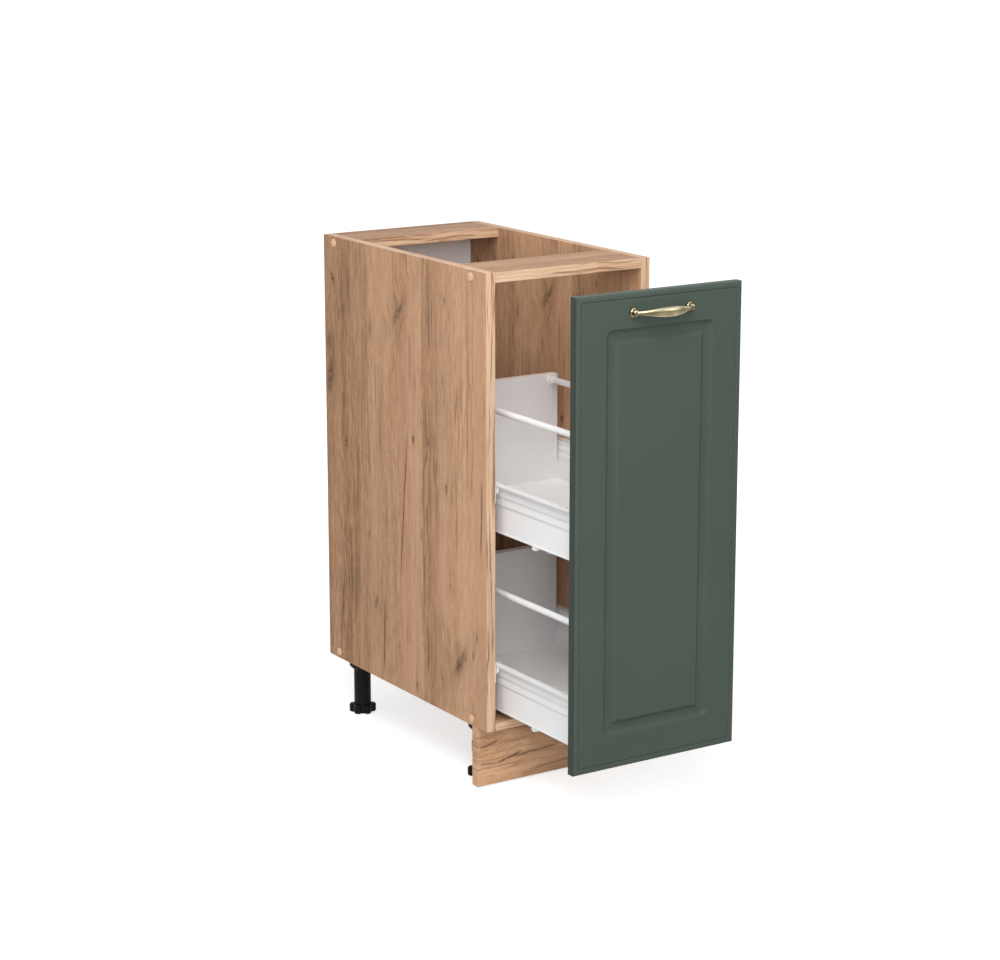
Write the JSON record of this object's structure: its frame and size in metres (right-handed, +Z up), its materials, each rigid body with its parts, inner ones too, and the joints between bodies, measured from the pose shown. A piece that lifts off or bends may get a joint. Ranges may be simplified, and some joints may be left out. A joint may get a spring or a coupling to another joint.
{
  "type": "pull-out base cabinet",
  "caption": "Narrow oak-decor kitchen base cabinet on levelling feet; one framed green front with a brass bow handle pulls out two white steel-sided drawers on roller runners.",
  "frame": {"origin": "on the floor, under the middle of the bounding box with the pull-out at its rest opening", "axes": "+Z up, -Y towards the front and the way the pull-out opens, +X to the right seen from the front"},
  "size_m": [0.304, 0.7636, 0.82],
  "materials": {
    "oak_decor": "matte oak-decor laminate on chipboard",
    "white_hdf": "white lacquered thin fibreboard",
    "zinc_steel": "zinc plated",
    "cap_plastic": "moulded, wood coloured",
    "black_plastic": "fine moulded texture",
    "white_steel": "white powder coat",
    "white_nylon": "moulded nylon",
    "white_board": "white melamine on chipboard",
    "green_front": "matte green film on routed fibreboard",
    "antique_brass": "antiqued, satin"
  },
  "bodies": {
    "carcass": {"back_panel": "white_hdf", "back_panel_nails": "zinc_steel", "bottom_panel": "oak_decor", "connector_caps": "cap_plastic", "connector_screws": "zinc_steel", "front_roller_pins": "zinc_steel", "leg_screws": "zinc_steel", "leg_sockets": "black_plastic", "leg_tubes": "black_plastic", "plinth_board": "oak_decor", "plinth_clip_screws": "zinc_steel", "plinth_clips": "black_plastic", "runner_lower_left": "white_steel", "runner_lower_right": "white_steel", "runner_screws": "zinc_steel", "runner_upper_left": "white_steel", "runner_upper_right": "white_steel", "side_panel_left": "oak_decor", "side_panel_right": "oak_decor", "top_rail_front": "oak_decor", "top_rail_rear": "oak_decor"},
    "pullout": {"base_clips": "white_nylon", "door_front": "green_front", "drawer_back_lower": "white_board", "drawer_back_screws": "zinc_steel", "drawer_back_upper": "white_board", "drawer_base_lower": "white_board", "drawer_base_screws": "zinc_steel", "drawer_base_upper": "white_board", "drawer_side_lower_left": "white_steel", "drawer_side_lower_right": "white_steel", "drawer_side_upper_left": "white_steel", "drawer_side_upper_right": "white_steel", "front_bracket_lower_left": "white_steel", "front_bracket_lower_right": "white_steel", "front_bracket_screws": "zinc_steel", "front_bracket_upper_left": "white_steel", "front_bracket_upper_right": "white_steel", "gallery_rail_lower_left": "white_steel", "gallery_rail_lower_right": "white_steel", "gallery_rail_upper_left": "white_steel", "gallery_rail_upper_right": "white_steel", "handle_screws": "zinc_steel", "pull_handle": "antique_brass", "rail_sockets": "white_nylon", "rear_roller_pins": "zinc_steel"},
    "front_roller_lower_left": {"front_roller_lower_left": "white_nylon"},
    "front_roller_lower_right": {"front_roller_lower_right": "white_nylon"},
    "front_roller_upper_left": {"front_roller_upper_left": "white_nylon"},
    "front_roller_upper_right": {"front_roller_upper_right": "white_nylon"},
    "rear_roller_lower_left": {"rear_roller_lower_left": "white_nylon"},
    "rear_roller_lower_right": {"rear_roller_lower_right": "white_nylon"},
    "rear_roller_upper_left": {"rear_roller_upper_left": "white_nylon"},
    "rear_roller_upper_right": {"rear_roller_upper_right": "white_nylon"},
    "foot_front_left": {"foot_front_left": "black_plastic"},
    "foot_front_right": {"foot_front_right": "black_plastic"},
    "foot_rear_left": {"foot_rear_left": "black_plastic"},
    "foot_rear_right": {"foot_rear_right": "black_plastic"}
  },
  "joints": [
    {"name": "pullout_slide", "type": "slide", "parent": "carcass", "child": "pullout", "axis": [0, -1, 0], "range_m": [-0.218, 0.122]},
    {"name": "front_roller_lower_left_spin", "type": "hinge", "parent": "carcass", "child": "front_roller_lower_left", "pos_m": [-0.12743, -0.1077, 0.198], "axis": [1, 0, 0], "continuous": true},
    {"name": "rear_roller_lower_left_spin", "type": "hinge", "parent": "pullout", "child": "rear_roller_lower_left", "pos_m": [-0.12743, 0.1018, 0.1999], "axis": [1, 0, 0], "continuous": true},
    {"name": "front_roller_lower_right_spin", "type": "hinge", "parent": "carcass", "child": "front_roller_lower_right", "pos_m": [0.12743, -0.1077, 0.198], "axis": [1, 0, 0], "continuous": true},
    {"name": "rear_roller_lower_right_spin", "type": "hinge", "parent": "pullout", "child": "rear_roller_lower_right", "pos_m": [0.12743, 0.1018, 0.1999], "axis": [1, 0, 0], "continuous": true},
    {"name": "front_roller_upper_left_spin", "type": "hinge", "parent": "carcass", "child": "front_roller_upper_left", "pos_m": [-0.12743, -0.1077, 0.4845], "axis": [1, 0, 0], "continuous": true},
    {"name": "rear_roller_upper_left_spin", "type": "hinge", "parent": "pullout", "child": "rear_roller_upper_left", "pos_m": [-0.12743, 0.1018, 0.4864], "axis": [1, 0, 0], "continuous": true},
    {"name": "front_roller_upper_right_spin", "type": "hinge", "parent": "carcass", "child": "front_roller_upper_right", "pos_m": [0.12743, -0.1077, 0.4845], "axis": [1, 0, 0], "continuous": true},
    {"name": "rear_roller_upper_right_spin", "type": "hinge", "parent": "pullout", "child": "rear_roller_upper_right", "pos_m": [0.12743, 0.1018, 0.4864], "axis": [1, 0, 0], "continuous": true},
    {"name": "foot_front_left_height", "type": "slide", "parent": "carcass", "child": "foot_front_left", "axis": [0, 0, -1], "range_m": [0, 0.02]},
    {"name": "foot_front_right_height", "type": "slide", "parent": "carcass", "child": "foot_front_right", "axis": [0, 0, -1], "range_m": [0, 0.02]},
    {"name": "foot_rear_left_height", "type": "slide", "parent": "carcass", "child": "foot_rear_left", "axis": [0, 0, -1], "range_m": [0, 0.02]},
    {"name": "foot_rear_right_height", "type": "slide", "parent": "carcass", "child": "foot_rear_right", "axis": [0, 0, -1], "range_m": [0, 0.02]}
  ],
  "couplings": [
    {"joint": "front_roller_lower_left_spin", "follows": "pullout_slide", "rad_per_m": 125},
    {"joint": "rear_roller_lower_left_spin", "follows": "pullout_slide", "rad_per_m": 125},
    {"joint": "front_roller_lower_right_spin", "follows": "pullout_slide", "rad_per_m": 125},
    {"joint": "rear_roller_lower_right_spin", "follows": "pullout_slide", "rad_per_m": 125},
    {"joint": "front_roller_upper_left_spin", "follows": "pullout_slide", "rad_per_m": 125},
    {"joint": "rear_roller_upper_left_spin", "follows": "pullout_slide", "rad_per_m": 125},
    {"joint": "front_roller_upper_right_spin", "follows": "pullout_slide", "rad_per_m": 125},
    {"joint": "rear_roller_upper_right_spin", "follows": "pullout_slide", "rad_per_m": 125}
  ]
}
